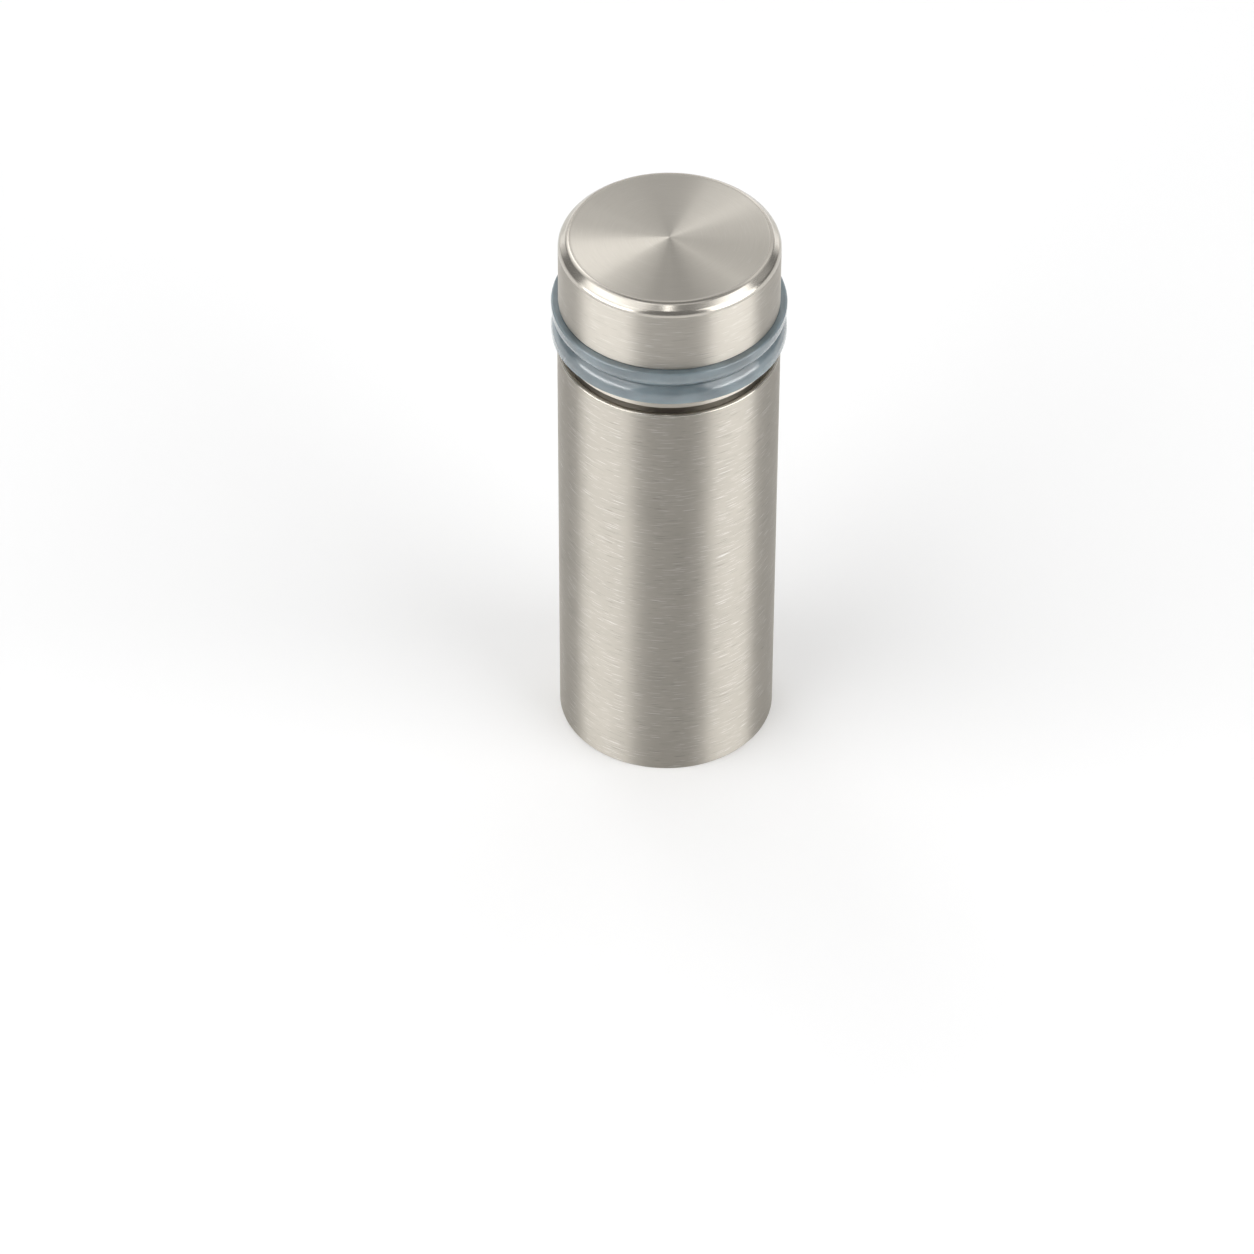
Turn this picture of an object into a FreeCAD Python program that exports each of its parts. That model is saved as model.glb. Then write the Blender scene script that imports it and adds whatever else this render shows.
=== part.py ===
import FreeCAD, Part
import math
import os

# Glass panel standoff, sizes in millimetres.
# The origin is the centre of the base, on the face that meets the wall.
# +Z runs along the barrel to the cap.

# Barrel
barrel_diameter = 38.0
barrel_length = 82.5
barrel_wall = 1.0
rim_chamfer = 0.3

# Thread that the stud and the wall rod share
thread_diameter = 10.0
thread_pitch = 1.5
thread_lead_in = 1.0

# Base plug, pressed flush into the wall end of the barrel
base_plug_length = 12.0
plug_edge_chamfer = 0.6

# Mouth insert: a plug in the barrel, a neck, and the flange that carries the glass
insert_plug_length = 14.0
insert_recess = 1.5
neck_depth = 3.0
shadow_gap = 0.8
flange_setback = 0.6
flange_thickness = 2.5
flange_lip_chamfer = 0.5

# Gaskets: each stands widest beside the metal and is bevelled in towards the glass
gasket_overhang = 1.0
gasket_thickness = 3.3
gasket_side = 1.1
gasket_bevel = 1.0

# Sleeve that keeps the glass off the stud, cut from plain tube
sleeve_wall = 1.8
sleeve_head_room = 0.6

# Cap
cap_setback = 0.2
cap_height = 13.3
cap_edge_radius = 2.0
cap_foot_chamfer = 0.25
cap_face_thickness = 2.3
cap_hole_spare = 0.5
drill_point_angle = 118.0

# Stud
stud_length = 45.0
stud_end_chamfer = 1.0

# Clearances, each on the radius
thread_clearance = 0.05
sleeve_clearance = 0.2
gasket_hole_clearance = 0.3

# Radii that follow
barrel_radius = barrel_diameter / 2
bore_radius = barrel_radius - barrel_wall
neck_radius = bore_radius - neck_depth
flange_radius = barrel_radius - flange_setback
gasket_radius = barrel_radius + gasket_overhang
cap_radius = barrel_radius - cap_setback
stud_radius = thread_diameter / 2
tapped_radius = (thread_diameter - thread_pitch) / 2
insert_hole_radius = stud_radius + thread_clearance
sleeve_bore_radius = stud_radius + sleeve_clearance
sleeve_radius = sleeve_bore_radius + sleeve_wall
gasket_hole_radius = sleeve_radius + gasket_hole_clearance

# Levels that follow, from the base up
rim_z = barrel_length
plug_top_z = rim_z - insert_recess
insert_bottom_z = plug_top_z - insert_plug_length
flange_bottom_z = rim_z + shadow_gap
flange_top_z = flange_bottom_z + flange_thickness
gasket_meeting_z = flange_top_z + gasket_thickness
cap_bottom_z = gasket_meeting_z + gasket_thickness
cap_top_z = cap_bottom_z + cap_height
sleeve_top_z = cap_bottom_z - sleeve_head_room
drill_tip_z = cap_top_z - cap_face_thickness
drill_shoulder_z = drill_tip_z - stud_radius / math.tan(math.radians(drill_point_angle / 2))
stud_top_z = drill_shoulder_z - cap_hole_spare
stud_bottom_z = stud_top_z - stud_length


# A place in the half section, by its distance from the axis and its height
def place(radius, height):
    return FreeCAD.Vector(radius, 0, height)


# A solid of revolution about the barrel's axis, from the corners of its half section.
# A corner of two numbers ends a straight cut. One of four numbers ends an arc:
# first a place on the way, then the corner itself.
def turned(start, *corners):
    cuts = []
    here = place(*start)
    for corner in corners + (start,):
        there = place(*corner[-2:])
        if len(corner) == 4:
            cuts.append(Part.Arc(here, place(*corner[:2]), there).toShape())
        else:
            cuts.append(Part.makeLine(here, there))
        here = there
    section = Part.Face(Part.Wire(cuts))
    return section.revolve(place(0, 0), FreeCAD.Vector(0, 0, 1), 360)


# Thin tube with its edges broken inside and out at both ends
def barrel_tube():
    edge_break = min(rim_chamfer, barrel_wall / 3)
    return turned(
        (bore_radius + edge_break, 0),
        (barrel_radius - edge_break, 0),
        (barrel_radius, edge_break),
        (barrel_radius, rim_z - edge_break),
        (barrel_radius - edge_break, rim_z),
        (bore_radius + edge_break, rim_z),
        (bore_radius, rim_z - edge_break),
        (bore_radius, edge_break),
    )


# Plug with a tapped hole right through, which takes the wall rod from below.
# The edge that leads into the barrel and the mouth of the hole are chamfered.
def base_plug():
    return turned(
        (tapped_radius + thread_lead_in, 0),
        (bore_radius, 0),
        (bore_radius, base_plug_length - plug_edge_chamfer),
        (bore_radius - plug_edge_chamfer, base_plug_length),
        (tapped_radius, base_plug_length),
        (tapped_radius, thread_lead_in),
    )


# Plug below the rim, undercut neck and a flange with a chamfered lower lip, in one turned piece.
# The neck and the open gap above the rim read as a dark shadow line from outside.
def mouth_insert():
    return turned(
        (insert_hole_radius, insert_bottom_z),
        (bore_radius - plug_edge_chamfer, insert_bottom_z),
        (bore_radius, insert_bottom_z + plug_edge_chamfer),
        (bore_radius, plug_top_z),
        (neck_radius, plug_top_z),
        (neck_radius, flange_bottom_z),
        (flange_radius - flange_lip_chamfer, flange_bottom_z),
        (flange_radius, flange_bottom_z + flange_lip_chamfer),
        (flange_radius, flange_top_z),
        (insert_hole_radius + thread_lead_in, flange_top_z),
        (insert_hole_radius, flange_top_z - thread_lead_in),
    )


# Soft ring with a straight side beside the metal and a long bevel to the face on the glass.
# toward_glass is 1 for the ring below the glass and -1 for the ring above it.
def gasket(metal_z, toward_glass):
    glass_z = metal_z + toward_glass * gasket_thickness
    return turned(
        (gasket_hole_radius, metal_z),
        (gasket_radius, metal_z),
        (gasket_radius, metal_z + toward_glass * gasket_side),
        (gasket_radius - gasket_bevel, glass_z),
        (gasket_hole_radius, glass_z),
    )


def lower_gasket():
    return gasket(flange_top_z, 1)


def upper_gasket():
    return gasket(cap_bottom_z, -1)


# Short tube that stands on the flange, inside the holes of both gaskets
def stud_sleeve():
    return turned(
        (sleeve_bore_radius, flange_top_z),
        (sleeve_radius, flange_top_z),
        (sleeve_radius, sleeve_top_z),
        (sleeve_bore_radius, sleeve_top_z),
    )


# Solid disc with a large rounded edge above, a small chamfer at its foot
# and a blind hole from below with the cone that a drill leaves
def cap():
    round_centre_radius = cap_radius - cap_edge_radius
    round_centre_z = cap_top_z - cap_edge_radius
    halfway = cap_edge_radius * math.sqrt(0.5)
    return turned(
        (stud_radius + thread_lead_in, cap_bottom_z),
        (cap_radius - cap_foot_chamfer, cap_bottom_z),
        (cap_radius, cap_bottom_z + cap_foot_chamfer),
        (cap_radius, round_centre_z),
        (round_centre_radius + halfway, round_centre_z + halfway, round_centre_radius, cap_top_z),
        (0, cap_top_z),
        (0, drill_tip_z),
        (stud_radius, drill_shoulder_z),
        (stud_radius, cap_bottom_z + thread_lead_in),
    )


# Threaded rod, fixed in the cap, with a chamfer at the end that enters the insert
def stud():
    return turned(
        (0, stud_bottom_z),
        (stud_radius - stud_end_chamfer, stud_bottom_z),
        (stud_radius, stud_bottom_z + stud_end_chamfer),
        (stud_radius, stud_top_z),
        (0, stud_top_z),
    )


pieces = (
    barrel_tube,
    base_plug,
    mouth_insert,
    lower_gasket,
    stud_sleeve,
    upper_gasket,
    cap,
    stud,
)

os.makedirs("parts", exist_ok=True)
for piece in pieces:
    solid = piece()
    solid.exportStep(f"parts/{piece.__name__}.step")
    print(f"{piece.__name__}: {solid.Volume:.0f} mm3, valid {solid.isValid()}")
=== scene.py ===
import math

import bmesh
import bpy
from mathutils import Matrix, Vector


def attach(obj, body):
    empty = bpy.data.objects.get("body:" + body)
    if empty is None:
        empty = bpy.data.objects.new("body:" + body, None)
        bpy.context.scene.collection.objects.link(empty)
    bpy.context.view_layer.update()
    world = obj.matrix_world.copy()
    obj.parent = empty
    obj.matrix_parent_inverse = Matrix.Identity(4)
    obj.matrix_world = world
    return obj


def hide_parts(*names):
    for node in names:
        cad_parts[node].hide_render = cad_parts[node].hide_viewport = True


# Glass panel standoff: a stainless barrel and cap that clamp a glass panel between two gaskets
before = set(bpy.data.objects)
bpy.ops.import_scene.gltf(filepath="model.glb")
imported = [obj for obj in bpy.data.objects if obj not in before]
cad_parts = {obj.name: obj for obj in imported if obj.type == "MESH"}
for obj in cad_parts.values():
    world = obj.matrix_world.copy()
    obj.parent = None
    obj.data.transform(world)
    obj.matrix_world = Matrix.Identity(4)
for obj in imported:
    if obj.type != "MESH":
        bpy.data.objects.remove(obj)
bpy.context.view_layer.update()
print("frame loaded:", ", ".join(sorted(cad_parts)))

# sizes in the dictionaries are in mm unless they say otherwise
mm = 0.001
upright = (0, 0, 1)      # the axis that every piece is turned about
turnSteps = 144          # flats round a turned piece, too fine to show
weld = 1e-6              # points closer than this, in metres, are one point
snap = 1e-9              # a point this near a cut, in metres, lies on it
noiseRange = (0.3, 0.7)  # nearly all values of a noise texture lie between these


# an sRGB hex colour as the linear values that sockets take
def linearColour(hexCode):
    parts = [int(hexCode[i:i + 2], 16) / 255 for i in (1, 3, 5)]
    linear = [p / 12.92 if p <= 0.04045 else ((p + 0.055) / 1.055) ** 2.4 for p in parts]
    return (*linear, 1)


# adds a node: a socket given a node is linked to its first output, one given (node, output)
# to that output, and any other value is set on the socket
def addNode(tree, kind, sockets=None, **settings):
    node = tree.nodes.new(kind)
    for setting, value in settings.items():
        setattr(node, setting, value)
    for socket, value in (sockets or {}).items():
        if isinstance(value, bpy.types.Node):
            value = (value, 0)
        if isinstance(value, tuple) and isinstance(value[0], bpy.types.Node):
            tree.links.new(value[0].outputs[value[1]], node.inputs[socket])
        else:
            node.inputs[socket].default_value = value
    return node


def newMaterial(name):
    material = bpy.data.materials.new(name)
    material.use_nodes = True
    material.node_tree.nodes.clear()
    return material, material.node_tree


# a bmesh becomes an object whose flats stay flat beside their rounded edges
def finishPiece(name, shape, sharpAngle=35):
    mesh = bpy.data.meshes.new(name)
    shape.to_mesh(mesh)
    shape.free()
    mesh.shade_smooth()
    mesh.set_sharp_from_angle(angle=math.radians(sharpAngle))
    piece = bpy.data.objects.new(name, mesh)
    bpy.context.scene.collection.objects.link(piece)
    flats = piece.modifiers.new("flats", "WEIGHTED_NORMAL")
    flats.keep_sharp = True
    depsgraph = bpy.context.evaluated_depsgraph_get()
    settled = bpy.data.meshes.new_from_object(
        piece.evaluated_get(depsgraph), preserve_all_data_layers=True, depsgraph=depsgraph)
    piece.modifiers.clear()
    piece.data = settled
    bpy.data.meshes.remove(mesh)
    settled.name = name
    return piece


# corners are (radius, height, rounding) in mm, in order round the half section
def sketchSection(shape, corners, roundSteps):
    points = [shape.verts.new((radius * mm, 0, height * mm)) for radius, height, _ in corners]
    shape.faces.new(points)
    for rounding in sorted({corner[2] for corner in corners if corner[2] > 0}):
        chosen = [point for point, corner in zip(points, corners) if corner[2] == rounding]
        bmesh.ops.bevel(
            shape, geom=chosen, offset=rounding * mm, offset_type="OFFSET", affect="VERTICES",
            segments=roundSteps, profile=0.5, material=-1, clamp_overlap=True)
    bmesh.ops.delete(shape, geom=shape.faces[:], context="FACES_ONLY")


# the section goes once round the axis, less any edge that lies on it
def spinSection(shape):
    onAxis = [e for e in shape.edges if all(abs(v.co.x) < weld for v in e.verts)]
    bmesh.ops.delete(shape, geom=onAxis, context="EDGES")
    bmesh.ops.spin(
        shape, geom=shape.verts[:] + shape.edges[:], cent=(0, 0, 0), axis=upright,
        angle=math.tau, steps=turnSteps, use_merge=True)
    bmesh.ops.remove_doubles(shape, verts=shape.verts, dist=weld)
    bmesh.ops.recalc_face_normals(shape, faces=shape.faces)


def turnedPiece(name, corners, roundSteps):
    shape = bmesh.new()
    sketchSection(shape, corners, roundSteps)
    spinSection(shape)
    return finishPiece(name, shape)


# puts a piece in its place in the assembly and gives it its finish
def fitPiece(piece, body, material, node):
    piece.data.materials.append(material)
    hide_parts(node)
    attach(piece, body)
    print("fitted:", piece.name, len(piece.data.polygons), "faces")


# The camera stands where the photograph was taken from
view = {
    "place": (-0.007021, -0.784439, 0.743865),
    "tilt": 47.1654,            # degrees up from straight down
    "roll": 0.121,
    "focalPixels": 6025.73,
    "framePixels": 1254,
    "sensorWidth": 36,
    "nearest": 0.05,
    "farthest": 50,
}
cameraData = bpy.data.cameras.new("camera")
cameraData.sensor_width = view["sensorWidth"]
cameraData.lens = view["focalPixels"] / view["framePixels"] * view["sensorWidth"]
cameraData.clip_start = view["nearest"]
cameraData.clip_end = view["farthest"]
camera = bpy.data.objects.new("camera", cameraData)
camera.matrix_world = (
    Matrix.Translation(view["place"])
    @ Matrix.Rotation(math.radians(view["tilt"]), 4, "X")
    @ Matrix.Rotation(math.radians(view["roll"]), 4, "Z"))
bpy.context.scene.collection.objects.link(camera)
bpy.context.scene.camera = camera
bpy.context.scene.view_settings.view_transform = "Standard"
print("camera placed")


# The studio: pale floor, softboxes at both sides and behind, and even light from all round
studio = {
    "floorSize": 6.0,
    "floorColour": "#F9F9F9",
    "fill": 0.24,               # strength of the even light
    "aimHeight": 50,            # mm above the floor, where every lamp points
    "lampDistance": 1.5,
}
lamps = {
    # degrees to the right of the camera, degrees up, width and height in metres, watts
    "leftSoftbox": (-61, 24, 1.8, 1.4, 10.8),
    "leftLowStrip": (-60, 5.4, 1.4, 0.32, 6.4),
    "leftHighSoftbox": (-70, 56, 1.4, 0.9, 4.6),
    "leftBackSoftbox": (-132, 43, 0.8, 0.7, 0.9),
    "leftBackStrip": (-146, 10, 1.0, 0.4, 0.8),
    "rightSoftbox": (62, 24, 1.4, 1.4, 13.6),
    "rightLowStrip": (62, 5.4, 1.2, 0.32, 4.2),
    "rightHighSoftbox": (88, 56, 1.4, 0.9, 0.8),
    "rightBackSoftbox": (120, 40, 1.0, 1.0, 0.9),
    "rightBackStrip": (148, 8, 1.0, 0.4, 0.9),
    "frontLamp": (-2, 58, 0.12, 0.12, 0.4),         # the small bright spot on the cap's edge
    "frontHighSoftbox": (0, 74, 1.2, 0.6, 1.4),
    "backSoftbox": (180, 42, 2.2, 1.5, 6.2),
    "backLeftLamp": (-157, 44, 0.35, 0.5, 0.82),
    "backRightLamp": (169, 20, 0.3, 0.4, 0.34),
    "backLowStrip": (180, 6, 3.0, 0.3, 2.4),
}


def makeFloor():
    shape = bmesh.new()
    bmesh.ops.create_grid(shape, x_segments=1, y_segments=1, size=studio["floorSize"] / 2)
    mesh = bpy.data.meshes.new("floor")
    shape.to_mesh(mesh)
    shape.free()
    floor = bpy.data.objects.new("floor", mesh)
    bpy.context.scene.collection.objects.link(floor)
    # matt paper: it takes the soft shade at the foot of the barrel and shows no gloss
    material, tree = newMaterial("mattPaperFloor")
    paper = addNode(tree, "ShaderNodeBsdfDiffuse", {"Color": linearColour(studio["floorColour"])})
    addNode(tree, "ShaderNodeOutputMaterial", {"Surface": paper})
    mesh.materials.append(material)


def makeWorld():
    world = bpy.data.worlds.new("studio")
    world.use_nodes = True
    tree = world.node_tree
    tree.nodes.clear()
    fill = addNode(tree, "ShaderNodeBackground", {
        "Color": (1, 1, 1, 1), "Strength": studio["fill"]})
    addNode(tree, "ShaderNodeOutputWorld", {"Surface": fill})
    bpy.context.scene.world = world


def makeLamp(name, azimuth, height, width, tall, watts):
    data = bpy.data.lights.new(name, "AREA")
    data.shape = "RECTANGLE"
    data.size = width
    data.size_y = tall
    data.energy = watts
    lamp = bpy.data.objects.new(name, data)
    across, up = math.radians(azimuth), math.radians(height)
    aim = Vector((0, 0, studio["aimHeight"] * mm))
    away = Vector((
        math.sin(across) * math.cos(up), -math.cos(across) * math.cos(up), math.sin(up)))
    lamp.matrix_world = (
        Matrix.Translation(aim + studio["lampDistance"] * away)
        @ (-away).to_track_quat("-Z", "Y").to_matrix().to_4x4())
    bpy.context.scene.collection.objects.link(lamp)


makeFloor()
makeWorld()
for name, settings in lamps.items():
    makeLamp(name, *settings)
print("studio lit with", len(lamps), "lamps")


# How the marks of brushing and turning are drawn, on every steel piece
brushing = {
    "raggedness": 0.6,
    "glintPeak": (0.64, 0.71),    # only the peaks of the pattern become strokes painted toward white, as painted glints
    "dullPeak": (0.35, 0.28),      # and only its hollows become dull ones
    "dullShare": 0.7,              # how strong a dull stroke is beside a bright one
    "hairRange": (0.25, 0.75),
    "fadeHeight": 1.0,             # mm over which the strokes fade towards the top
}


# Stainless steel, brushed or turned round the axis. The marks follow the turning: x and y
# change slowly along a mark, and the height less the radius changes quickly across it, on a
# side, over a rounded edge and on a flat alike. The hairlines are about 0.1 mm wide, coarser
# than real grit leaves them, so that they show. The bright strokes are painted glints: their
# colour is mixed toward white, besides the relief they give.
def steelFinish(name, finish):
    material, tree = newMaterial(name)
    place = addNode(tree, "ShaderNodeTexCoord")
    parts = addNode(tree, "ShaderNodeSeparateXYZ", {0: (place, "Object")})
    flatPlace = addNode(tree, "ShaderNodeVectorMath", {
        0: (place, "Object"), 1: (1, 1, 0)}, operation="MULTIPLY")
    radius = (addNode(tree, "ShaderNodeVectorMath", {0: flatPlace}, operation="LENGTH"), "Value")
    across = addNode(tree, "ShaderNodeMath", {0: (parts, "Z"), 1: radius}, operation="SUBTRACT")
    alongMarks = addNode(tree, "ShaderNodeCombineXYZ", {
        "X": (parts, "X"), "Y": (parts, "Y"), "Z": across})

    def marks(length, width, detail):
        stretched = addNode(tree, "ShaderNodeMapping", {
            "Vector": alongMarks,
            "Scale": (1 / (length * mm), 1 / (length * mm), 1 / (width * mm))})
        return addNode(tree, "ShaderNodeTexNoise", {
            "Vector": stretched, "Scale": 1.0, "Detail": detail,
            "Roughness": brushing["raggedness"]})

    strokes = marks(finish["strokeLength"], finish["strokeWidth"], 1)
    hairs = marks(finish["hairLength"], finish["hairWidth"], 2)
    clouds = addNode(tree, "ShaderNodeTexNoise", {
        "Vector": (place, "Object"), "Scale": 1 / (finish["cloudSize"] * mm), "Detail": 2})

    # short cuts painted toward white as painted glints, and short dull ones
    glintStrokes = addNode(tree, "ShaderNodeMapRange", {
        "Value": strokes, "From Min": brushing["glintPeak"][0],
        "From Max": brushing["glintPeak"][1], "To Max": finish["strokeTone"]})
    dull = addNode(tree, "ShaderNodeMapRange", {
        "Value": strokes, "From Min": brushing["dullPeak"][0],
        "From Max": brushing["dullPeak"][1],
        "To Max": brushing["dullShare"] * finish["strokeTone"]})
    if "topTone" in finish:
        # they fade on the top, which is turned finer than the side
        quiet = addNode(tree, "ShaderNodeMapRange", {
            "Value": (parts, "Z"), "From Min": finish["topHeight"] * mm,
            "From Max": (finish["topHeight"] + brushing["fadeHeight"]) * mm,
            "To Min": 1, "To Max": finish["topTone"]})
        glintStrokes = addNode(tree, "ShaderNodeMath", {0: glintStrokes, 1: quiet}, operation="MULTIPLY")
        dull = addNode(tree, "ShaderNodeMath", {0: dull, 1: quiet}, operation="MULTIPLY")

    # an even ground of hairlines, with slightly lighter and darker patches
    fine = addNode(tree, "ShaderNodeMapRange", {
        "Value": hairs, "From Min": brushing["hairRange"][0],
        "From Max": brushing["hairRange"][1],
        "To Min": 1 - finish["hairTone"], "To Max": 1 + finish["hairTone"]})
    patches = addNode(tree, "ShaderNodeMapRange", {
        "Value": clouds, "From Min": noiseRange[0], "From Max": noiseRange[1],
        "To Min": 1 - finish["cloudTone"], "To Max": 1 + finish["cloudTone"]})
    ground = addNode(tree, "ShaderNodeMath", {0: fine, 1: patches}, operation="MULTIPLY")
    tone = addNode(tree, "ShaderNodeMath", {0: ground, 1: dull}, operation="SUBTRACT")
    shaded = addNode(tree, "ShaderNodeVectorMath", {
        0: linearColour(finish["colour"])[:3], "Scale": tone}, operation="SCALE")
    # painted glints: the bright strokes mix the steel's colour toward white, standing in for light
    # caught on the cuts
    colour = addNode(tree, "ShaderNodeMix", {
        "Factor": glintStrokes, 6: shaded, 7: (1, 1, 1, 1)}, data_type="RGBA")

    gloss = addNode(tree, "ShaderNodeMapRange", {
        "Value": hairs, "From Min": brushing["hairRange"][0],
        "From Max": brushing["hairRange"][1],
        "To Min": finish["roughness"] - finish["roughSpread"],
        "To Max": finish["roughness"] + finish["roughSpread"]})
    if "topRoughness" in finish:
        onTop = addNode(tree, "ShaderNodeMapRange", {
            "Value": (parts, "Z"), "From Min": finish["topHeight"] * mm,
            "From Max": (finish["topHeight"] + finish["topBlend"]) * mm},
            interpolation_type="SMOOTHSTEP")
        gloss = addNode(tree, "ShaderNodeMix", {
            "Factor": onTop, "A": gloss, "B": finish["topRoughness"]})

    # the relief in metres: strokes, hairlines and the slope of the rings from the facing tool
    cuts = addNode(tree, "ShaderNodeMath", {0: glintStrokes, 1: dull}, operation="SUBTRACT")
    cuts = addNode(tree, "ShaderNodeMath", {0: hairs, 1: 0.5, 2: cuts}, operation="MULTIPLY_ADD")
    relief = addNode(tree, "ShaderNodeMath", {
        0: cuts, 1: finish["cutDepth"] * mm}, operation="MULTIPLY")
    if "facingSlope" in finish:
        faced = addNode(tree, "ShaderNodeMath", {
            0: radius, 1: finish["facedRadius"] * mm}, operation="MINIMUM")
        relief = addNode(tree, "ShaderNodeMath", {
            0: faced, 1: -finish["facingSlope"], 2: relief}, operation="MULTIPLY_ADD")
    grain = addNode(tree, "ShaderNodeBump", {"Height": relief, "Strength": 1.0, "Distance": 1.0})
    along = addNode(tree, "ShaderNodeTangent", direction_type="RADIAL", axis="Z")
    steel = addNode(tree, "ShaderNodeBsdfPrincipled", {
        "Base Color": (colour, 2), "Metallic": 1.0, "Roughness": gloss,
        "Anisotropic": finish["anisotropy"], "Anisotropic Rotation": 0.25,    # a quarter turn
        "Normal": grain, "Tangent": along})
    addNode(tree, "ShaderNodeOutputMaterial", {"Surface": steel})
    return material


# Barrel: thin stainless tube with its edges broken
barrel = {
    "radius": 19.0, "bore": 18.0, "length": 82.5, "edgeRound": 0.3, "roundSteps": 5,
    # 304 stainless, belt-brushed satin with about 180 grit: soft upright bands of light,
    # fine level marks, and a brighter line where the rim's edge is polished
    "finish": {
        "colour": "#B7B2A9", "roughness": 0.50, "roughSpread": 0.04, "anisotropy": 0.97,
        "strokeLength": 3.6, "strokeWidth": 0.13, "strokeTone": 0.38,
        "hairLength": 3.0, "hairWidth": 0.11, "hairTone": 0.05,
        "cloudSize": 9, "cloudTone": 0.03, "cutDepth": 0.003,
        "topHeight": 82.15, "topBlend": 0.1, "topRoughness": 0.2,
    },
}
barrelTube = turnedPiece("barrelTube", [
    (barrel["bore"], 0, barrel["edgeRound"]),
    (barrel["radius"], 0, barrel["edgeRound"]),
    (barrel["radius"], barrel["length"], barrel["edgeRound"]),
    (barrel["bore"], barrel["length"], barrel["edgeRound"]),
], barrel["roundSteps"])
barrelSteel = steelFinish("brushedStainlessBarrel", barrel["finish"])
fitPiece(barrelTube, "base", barrelSteel, "barrel_tube")


# Cap: solid disc with a polished bevel round its face and a blind hole from below
cap = {
    "radius": 18.8, "bottom": 92.4, "top": 105.7,
    "edgeWidth": 1.5, "edgeFall": 1.35, "edgeRound": 0.65, "faceRound": 0.45, "footRound": 0.25,
    "roundSteps": 8,
    "holeRadius": 5.0, "holeLeadIn": 1.0, "drillTip": 103.4, "drillShoulder": 100.4,
    # 304 stainless, brushed round its side like the barrel and faced finer on the lathe:
    # light gathers in wedges that meet at the middle of the face
    "finish": {
        "colour": "#C0BBB2", "roughness": 0.44, "roughSpread": 0.03, "anisotropy": 0.97,
        "facedRadius": 16.6, "facingSlope": 0.2,
        "topHeight": 103.7, "topBlend": 0.2, "topRoughness": 0.30, "topTone": 0.25,
        "strokeLength": 4.0, "strokeWidth": 0.13, "strokeTone": 0.26,
        "hairLength": 5.0, "hairWidth": 0.10, "hairTone": 0.025,
        "cloudSize": 9, "cloudTone": 0.02, "cutDepth": 0.0012,
    },
    # the same steel, buffed: it mirrors the lamps, with the faintest turning lines left
    "edgeFinish": {
        "colour": "#C0BBB2", "roughness": 0.22, "roughSpread": 0.02, "anisotropy": 0.3,
        "strokeLength": 4.0, "strokeWidth": 0.13, "strokeTone": 0.04,
        "hairLength": 6.0, "hairWidth": 0.10, "hairTone": 0.02,
        "cloudSize": 9, "cloudTone": 0.02, "cutDepth": 0.0004,
    },
}
capDisc = turnedPiece("capDisc", [
    (0, cap["top"], 0),
    (0, cap["drillTip"], 0),
    (cap["holeRadius"], cap["drillShoulder"], 0),
    (cap["holeRadius"], cap["bottom"] + cap["holeLeadIn"], 0),
    (cap["holeRadius"] + cap["holeLeadIn"], cap["bottom"], 0),
    (cap["radius"], cap["bottom"], cap["footRound"]),
    (cap["radius"], cap["top"] - cap["edgeFall"], cap["edgeRound"]),
    (cap["radius"] - cap["edgeWidth"], cap["top"], cap["faceRound"]),
], cap["roundSteps"])
fitPiece(capDisc, "cap", steelFinish("turnedStainlessCap", cap["finish"]), "cap")
capDisc.data.materials.append(steelFinish("polishedStainlessEdge", cap["edgeFinish"]))
# the faces of the bevel take the polished finish
edgeFoot = (cap["top"] - cap["edgeFall"] - cap["edgeRound"]) * mm
edgeStart = (cap["radius"] - cap["edgeWidth"] - cap["faceRound"]) * mm
for face in capDisc.data.polygons:
    if face.center.z > edgeFoot and math.hypot(face.center.x, face.center.y) > edgeStart:
        face.material_index = 1


# Mouth insert: plug in the barrel, narrow neck and the flange that carries the glass
insert = {
    "boreRadius": 18.0, "bottom": 67.0, "plugTop": 81.0, "plugEdge": 0.6,
    "neckRadius": 15.0, "neckRound": 0.3,
    "flangeRadius": 18.4, "flangeBottom": 83.3, "flangeTop": 85.8, "lip": 0.5,
    "holeRadius": 5.05, "leadIn": 1.0, "edgeRound": 0.1, "roundSteps": 3,
    # 304 stainless as it comes off the lathe: a little brighter than the barrel, with even
    # rings and hardly a stroke
    "finish": {
        "colour": "#CEC8BE", "roughness": 0.45, "roughSpread": 0.03, "anisotropy": 0.95,
        "strokeLength": 5.0, "strokeWidth": 0.2, "strokeTone": 0.06,
        "hairLength": 8.0, "hairWidth": 0.10, "hairTone": 0.03,
        "cloudSize": 12, "cloudTone": 0.02, "cutDepth": 0.002,
    },
}
mouthInsert = turnedPiece("mouthInsert", [
    (insert["holeRadius"], insert["bottom"], 0),
    (insert["boreRadius"] - insert["plugEdge"], insert["bottom"], 0),
    (insert["boreRadius"], insert["bottom"] + insert["plugEdge"], 0),
    (insert["boreRadius"], insert["plugTop"], insert["edgeRound"]),
    (insert["neckRadius"], insert["plugTop"], insert["neckRound"]),
    (insert["neckRadius"], insert["flangeBottom"], insert["neckRound"]),
    (insert["flangeRadius"] - insert["lip"], insert["flangeBottom"], insert["edgeRound"]),
    (insert["flangeRadius"], insert["flangeBottom"] + insert["lip"], insert["edgeRound"]),
    (insert["flangeRadius"], insert["flangeTop"], insert["edgeRound"]),
    (insert["holeRadius"] + insert["leadIn"], insert["flangeTop"], 0),
    (insert["holeRadius"], insert["flangeTop"] - insert["leadIn"], 0),
], insert["roundSteps"])
turnedSteel = steelFinish("turnedStainlessInsert", insert["finish"])
fitPiece(mouthInsert, "base", turnedSteel, "mouth_insert")


# M10 x 1.5 thread: one pitch of the section is screwed up the axis, and the turns are stacked
thread = {"pitch": 1.5, "flankAngle": 30, "outerFlat": 1 / 8, "steps": 64}


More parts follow.
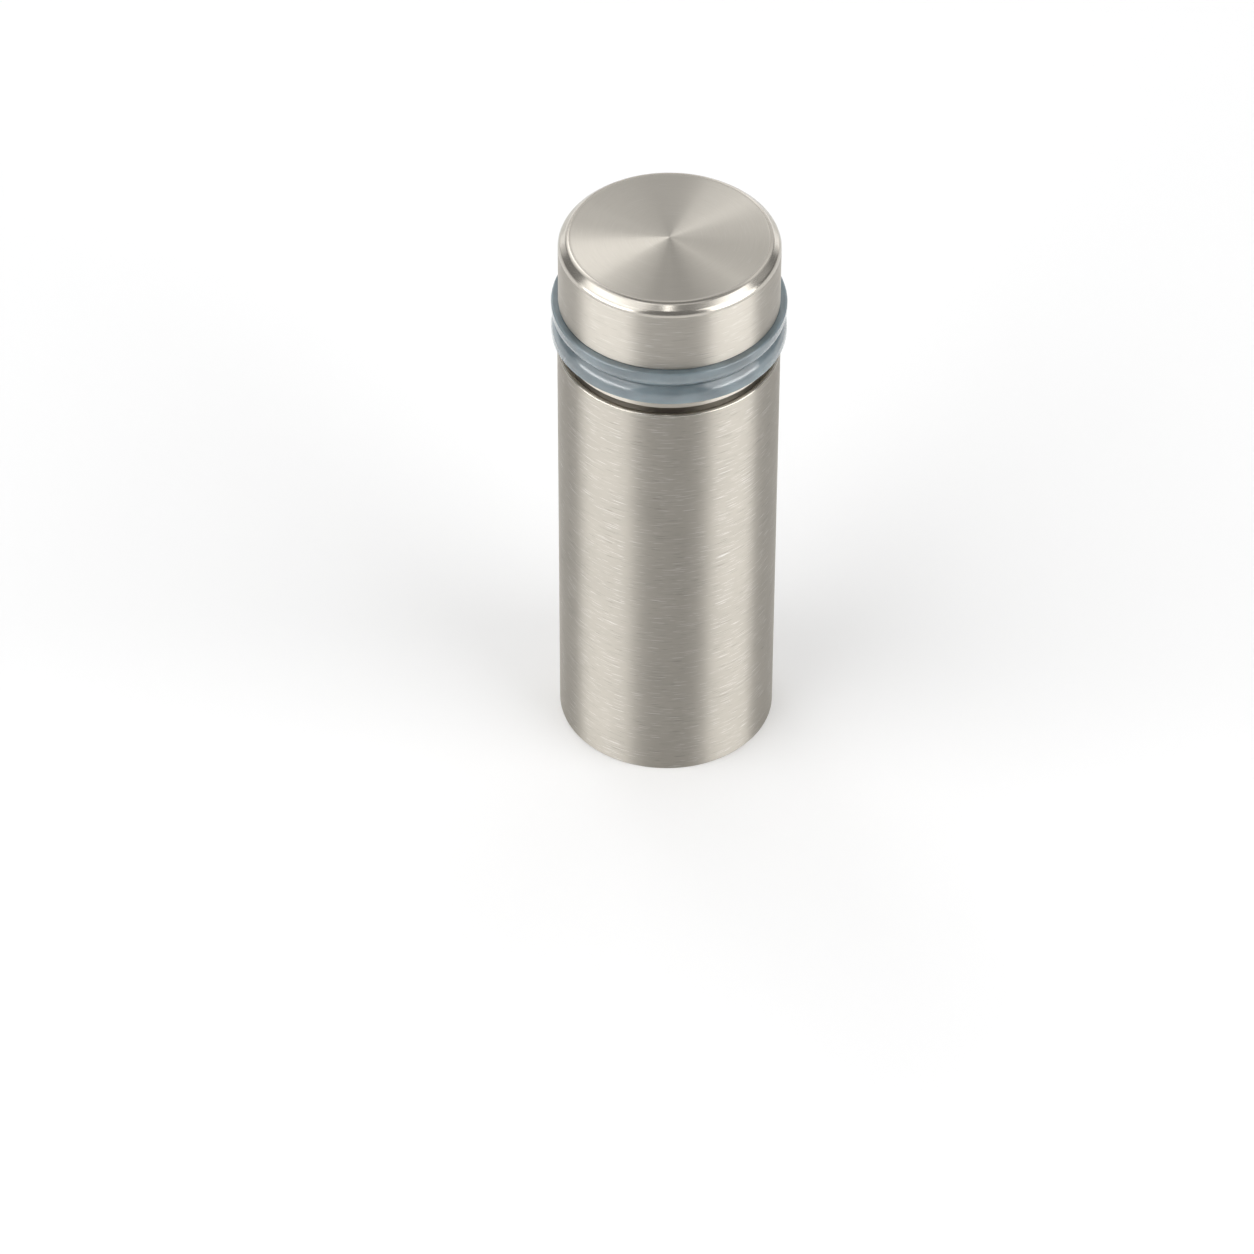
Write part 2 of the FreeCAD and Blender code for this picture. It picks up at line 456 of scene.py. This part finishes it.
# sizes in mm: inner and outer are the radii of the thread, low and high its ends, and
# endRadius is where the chamfer starts at each end: it widens a rod and narrows a hole
def screwThread(shape, inner, outer, low, high, endRadius, hole):
    pitch, steps = thread["pitch"], thread["steps"]
    flank = (outer - inner) * math.tan(math.radians(thread["flankAngle"]))
    outerWidth = pitch * thread["outerFlat"]
    innerWidth = pitch - outerWidth - 2 * flank
    section = [
        (inner, 0), (inner, innerWidth), (outer, innerWidth + flank),
        (outer, innerWidth + flank + outerWidth), (inner, pitch)]
    points = [shape.verts.new((r * mm, 0, (low - pitch + h) * mm)) for r, h in section]
    for lower, upper in zip(points, points[1:]):
        shape.edges.new((lower, upper))
    bmesh.ops.spin(
        shape, geom=shape.verts[:] + shape.edges[:], cent=(0, 0, 0), axis=upright,
        dvec=(0, 0, pitch * mm / steps), angle=math.tau, steps=steps, use_merge=False)
    oneTurn = shape.verts[:] + shape.edges[:] + shape.faces[:]
    for turn in range(1, math.ceil((high - low) / pitch) + 2):
        copied = bmesh.ops.duplicate(shape, geom=oneTurn)["geom"]
        copiedVerts = [part for part in copied if isinstance(part, bmesh.types.BMVert)]
        bmesh.ops.translate(shape, verts=copiedVerts, vec=(0, 0, turn * pitch * mm))
    bmesh.ops.remove_doubles(shape, verts=shape.verts, dist=weld)
    for level, outward in ((low, -1), (high, 1)):    # cut level at both ends
        bmesh.ops.bisect_plane(
            shape, geom=shape.verts[:] + shape.edges[:] + shape.faces[:], dist=snap,
            plane_co=(0, 0, level * mm), plane_no=(0, 0, outward), clear_outer=True)
    for vert in shape.verts:
        here = math.hypot(vert.co.x, vert.co.y)
        fromEnd = min(vert.co.z - low * mm, high * mm - vert.co.z)
        if hole:
            allowed = max(here, endRadius * mm - fromEnd)
        else:
            allowed = min(here, endRadius * mm + fromEnd)
        vert.co.x *= allowed / here
        vert.co.y *= allowed / here


# Stud: threaded rod, fixed in the cap
stud = {
    "bottom": 54.9, "top": 99.9, "inner": 4.08, "outer": 4.98, "endRadius": 4.0,
    "sharpAngle": 25,
    # rolled 304 stainless: smooth and bright along the crests
    "finish": {
        "colour": "#BDB8B0", "roughness": 0.26, "roughSpread": 0.04, "anisotropy": 0.3,
        "strokeLength": 3.0, "strokeWidth": 0.2, "strokeTone": 0.05,
        "hairLength": 4.0, "hairWidth": 0.1, "hairTone": 0.03,
        "cloudSize": 6, "cloudTone": 0.03, "cutDepth": 0.001,
    },
}
studShape = bmesh.new()
screwThread(
    studShape, stud["inner"], stud["outer"], stud["bottom"], stud["top"], stud["endRadius"],
    hole=False)
rims = [e for e in studShape.edges if e.is_boundary]
bmesh.ops.holes_fill(studShape, edges=rims, sides=0)
bmesh.ops.recalc_face_normals(studShape, faces=studShape.faces)
studRod = finishPiece("studRod", studShape, stud["sharpAngle"])
fitPiece(studRod, "cap", steelFinish("rolledStainlessStud", stud["finish"]), "stud")


# Base plug: disc in the wall end of the barrel, tapped right through
plug = {
    "radius": 18.0, "length": 12.0, "edge": 0.6, "sharpAngle": 30,
    "inner": 4.19, "outer": 5.05, "mouthRadius": 5.25, "mouthFlat": 0.1,
}
plugShape = bmesh.new()
screwThread(
    plugShape, plug["inner"], plug["outer"], 0, plug["length"], plug["mouthRadius"],
    hole=True)
shell = bmesh.new()
sketch = [
    (plug["mouthRadius"] + plug["mouthFlat"], 0),
    (plug["radius"], 0),
    (plug["radius"], plug["length"] - plug["edge"]),
    (plug["radius"] - plug["edge"], plug["length"]),
    (plug["mouthRadius"] + plug["mouthFlat"], plug["length"]),
]
shellPoints = [shell.verts.new((r * mm, 0, h * mm)) for r, h in sketch]
for first, second in zip(shellPoints, shellPoints[1:]):
    shell.edges.new((first, second))
bmesh.ops.spin(
    shell, geom=shell.verts[:] + shell.edges[:], cent=(0, 0, 0), axis=upright,
    angle=math.tau, steps=turnSteps, use_merge=True)
shellMesh = bpy.data.meshes.new("shell")
shell.to_mesh(shellMesh)
shell.free()
plugShape.from_mesh(shellMesh)
bpy.data.meshes.remove(shellMesh)
for level in (0, plug["length"] * mm):      # a flat ring joins the thread and the shell at each end
    rims = [
        e for e in plugShape.edges
        if e.is_boundary and all(abs(v.co.z - level) < weld for v in e.verts)]
    bmesh.ops.triangle_fill(plugShape, edges=rims, use_beauty=True, normal=upright)
bmesh.ops.recalc_face_normals(plugShape, faces=plugShape.faces)
basePlug = finishPiece("basePlug", plugShape, plug["sharpAngle"])
fitPiece(basePlug, "base", turnedSteel, "base_plug")


# Gaskets: the same soft ring below and above the glass
gasket = {
    "radius": 20.0, "hole": 7.3, "thickness": 3.3,
    "cornerHeight": 2.43, "shoulderRound": 1.2,    # straight for 1.2 mm, then curving in
    "taper": 1.0, "edgeRound": 0.3, "lipRound": 0.12, "holeRound": 0.1, "roundSteps": 8,
    # moulded plasticised PVC, clear with a blue-grey milk in it: light shows through it a
    # little, and its skin is slightly wavy and waxy
    "finish": {
        "tint": "#C8D2D6", "milk": "#92A2A9", "clearShare": 0.55, "roughness": 0.2, "ior": 1.53,
        "cloudSize": 6, "cloudTones": (0.75, 1.15), "waveSize": 1.5, "waveDepth": 0.04,
        "scatterShare": 0.6, "scatterDepth": 3, "scatterColour": (0.8, 0.95, 1.0),
        "coat": 0.8, "coatRoughness": 0.14, "coatIor": 1.6,
    },
}


def pvcFinish(finish):
    material, tree = newMaterial("softClearPvc")
    place = addNode(tree, "ShaderNodeTexCoord")
    clouds = addNode(tree, "ShaderNodeTexNoise", {
        "Vector": (place, "Object"), "Scale": 1 / (finish["cloudSize"] * mm), "Detail": 2})
    cloudy = addNode(tree, "ShaderNodeMapRange", {
        "Value": clouds, "From Min": noiseRange[0], "From Max": noiseRange[1],
        "To Min": finish["cloudTones"][0], "To Max": finish["cloudTones"][1]})
    milk = addNode(tree, "ShaderNodeVectorMath", {
        0: linearColour(finish["milk"])[:3], "Scale": cloudy}, operation="SCALE")
    waves = addNode(tree, "ShaderNodeTexNoise", {
        "Vector": (place, "Object"), "Scale": 1 / (finish["waveSize"] * mm), "Detail": 2})
    skin = addNode(tree, "ShaderNodeBump", {
        "Height": waves, "Strength": 1.0, "Distance": finish["waveDepth"] * mm})
    surface = {
        "Roughness": finish["roughness"], "IOR": finish["ior"], "Normal": skin,
        "Coat Weight": finish["coat"], "Coat Roughness": finish["coatRoughness"],
        "Coat IOR": finish["coatIor"]}
    milky = addNode(tree, "ShaderNodeBsdfPrincipled", {
        "Base Color": milk, "Subsurface Weight": finish["scatterShare"],
        "Subsurface Scale": finish["scatterDepth"] * mm,
        "Subsurface Radius": finish["scatterColour"], **surface})
    clear = addNode(tree, "ShaderNodeBsdfPrincipled", {
        "Base Color": linearColour(finish["tint"]), "Transmission Weight": 1.0, **surface})
    both = addNode(tree, "ShaderNodeMixShader", {0: finish["clearShare"], 1: milky, 2: clear})
    addNode(tree, "ShaderNodeOutputMaterial", {"Surface": both})
    return material


# metalLevel is where the ring meets the metal, towardGlass is 1 upwards and -1 downwards
def gasketRing(name, metalLevel, towardGlass):
    glassLevel = metalLevel + towardGlass * gasket["thickness"]
    cornerLevel = metalLevel + towardGlass * gasket["cornerHeight"]
    return turnedPiece(name, [
        (gasket["hole"], metalLevel, gasket["holeRound"]),
        (gasket["radius"], metalLevel, gasket["edgeRound"]),
        (gasket["radius"], cornerLevel, gasket["shoulderRound"]),
        (gasket["radius"] - gasket["taper"], glassLevel, gasket["lipRound"]),
        (gasket["hole"], glassLevel, gasket["holeRound"]),
    ], gasket["roundSteps"])


pvc = pvcFinish(gasket["finish"])
lowerGasket = gasketRing("lowerGasket", insert["flangeTop"], 1)
upperGasket = gasketRing("upperGasket", cap["bottom"], -1)
fitPiece(lowerGasket, "base", pvc, "lower_gasket")
fitPiece(upperGasket, "clamp_ring", pvc, "upper_gasket")


# Sleeve: tube cut square, which keeps the glass off the stud. It shows only when the cap is up.
# Natural nylon, extruded: creamy white, faintly see-through, with an even dull sheen
sleeve = {
    "colour": "#E4E1D6", "roughness": 0.4, "ior": 1.53,
    "cloudSize": 3.33, "cloudTones": (0.96, 1.03),
    "scatterShare": 0.4, "scatterDepth": 1, "scatterColour": (1.0, 0.9, 0.8),
}


def nylonFinish(finish):
    material, tree = newMaterial("naturalNylon")
    place = addNode(tree, "ShaderNodeTexCoord")
    clouds = addNode(tree, "ShaderNodeTexNoise", {
        "Vector": (place, "Object"), "Scale": 1 / (finish["cloudSize"] * mm), "Detail": 3})
    tone = addNode(tree, "ShaderNodeMapRange", {
        "Value": clouds, "From Min": noiseRange[0], "From Max": noiseRange[1],
        "To Min": finish["cloudTones"][0], "To Max": finish["cloudTones"][1]})
    colour = addNode(tree, "ShaderNodeVectorMath", {
        0: linearColour(finish["colour"])[:3], "Scale": tone}, operation="SCALE")
    nylon = addNode(tree, "ShaderNodeBsdfPrincipled", {
        "Base Color": colour, "Roughness": finish["roughness"], "IOR": finish["ior"],
        "Subsurface Weight": finish["scatterShare"],
        "Subsurface Scale": finish["scatterDepth"] * mm,
        "Subsurface Radius": finish["scatterColour"]})
    addNode(tree, "ShaderNodeOutputMaterial", {"Surface": nylon})
    return material


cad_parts["stud_sleeve"].data.materials[0] = nylonFinish(sleeve)
print("pieces finished")
